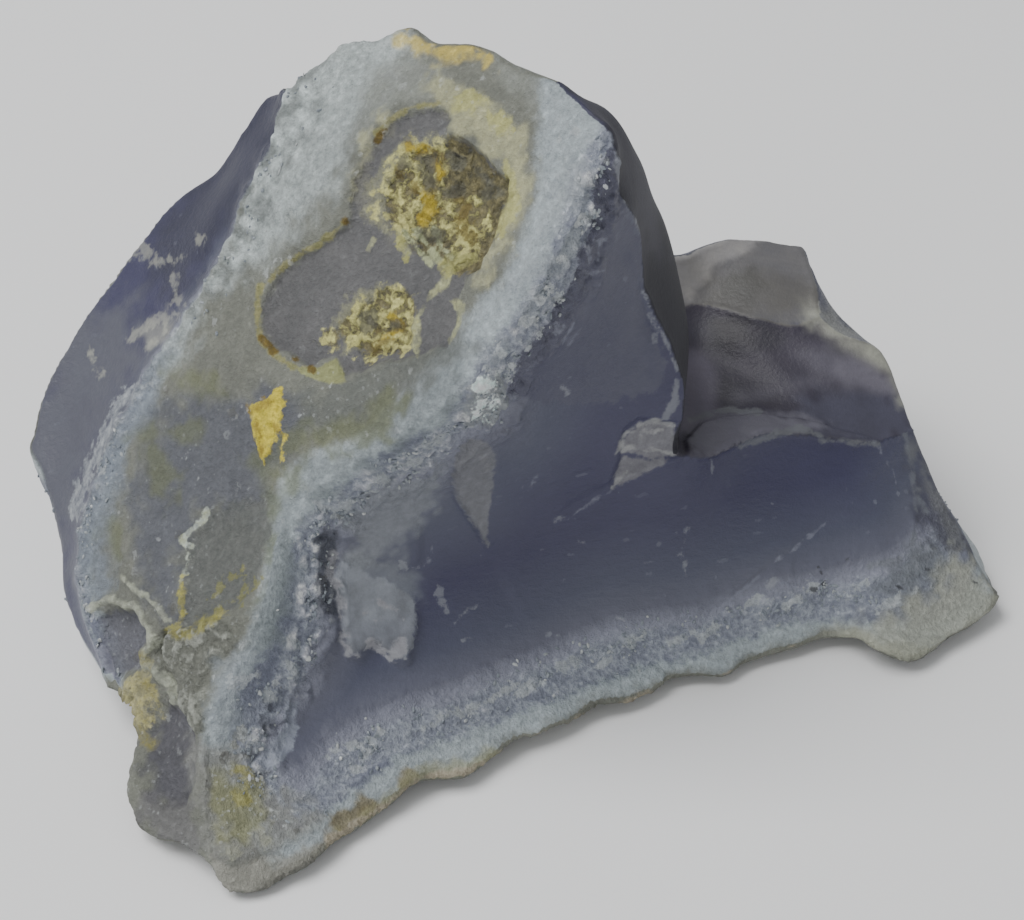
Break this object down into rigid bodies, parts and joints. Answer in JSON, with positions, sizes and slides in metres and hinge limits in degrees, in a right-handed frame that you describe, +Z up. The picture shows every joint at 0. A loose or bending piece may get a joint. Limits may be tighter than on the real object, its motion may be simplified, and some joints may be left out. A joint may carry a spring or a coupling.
{
  "type": "agate specimen",
  "caption": "Rough blue-grey agate specimen: a pale vein wall with stained hollows, a quartz rim, and shell-like breaks down to a low shelf. Rests on a small flat.",
  "frame": {"origin": "middle of the stone's base, on the surface it rests on", "axes": "+Z up as it rests; +X from the tall pointed part towards the low shelf; +Y from the scooped front towards the back"},
  "size_m": [0.0836, 0.0642, 0.0524],
  "materials": {
    "agate": "waxy blue-grey chalcedony on the breaks, duller and grainy on the rim and the vein wall"
  },
  "bodies": {
    "root": {"agate": "agate"}
  },
  "joints": []
}
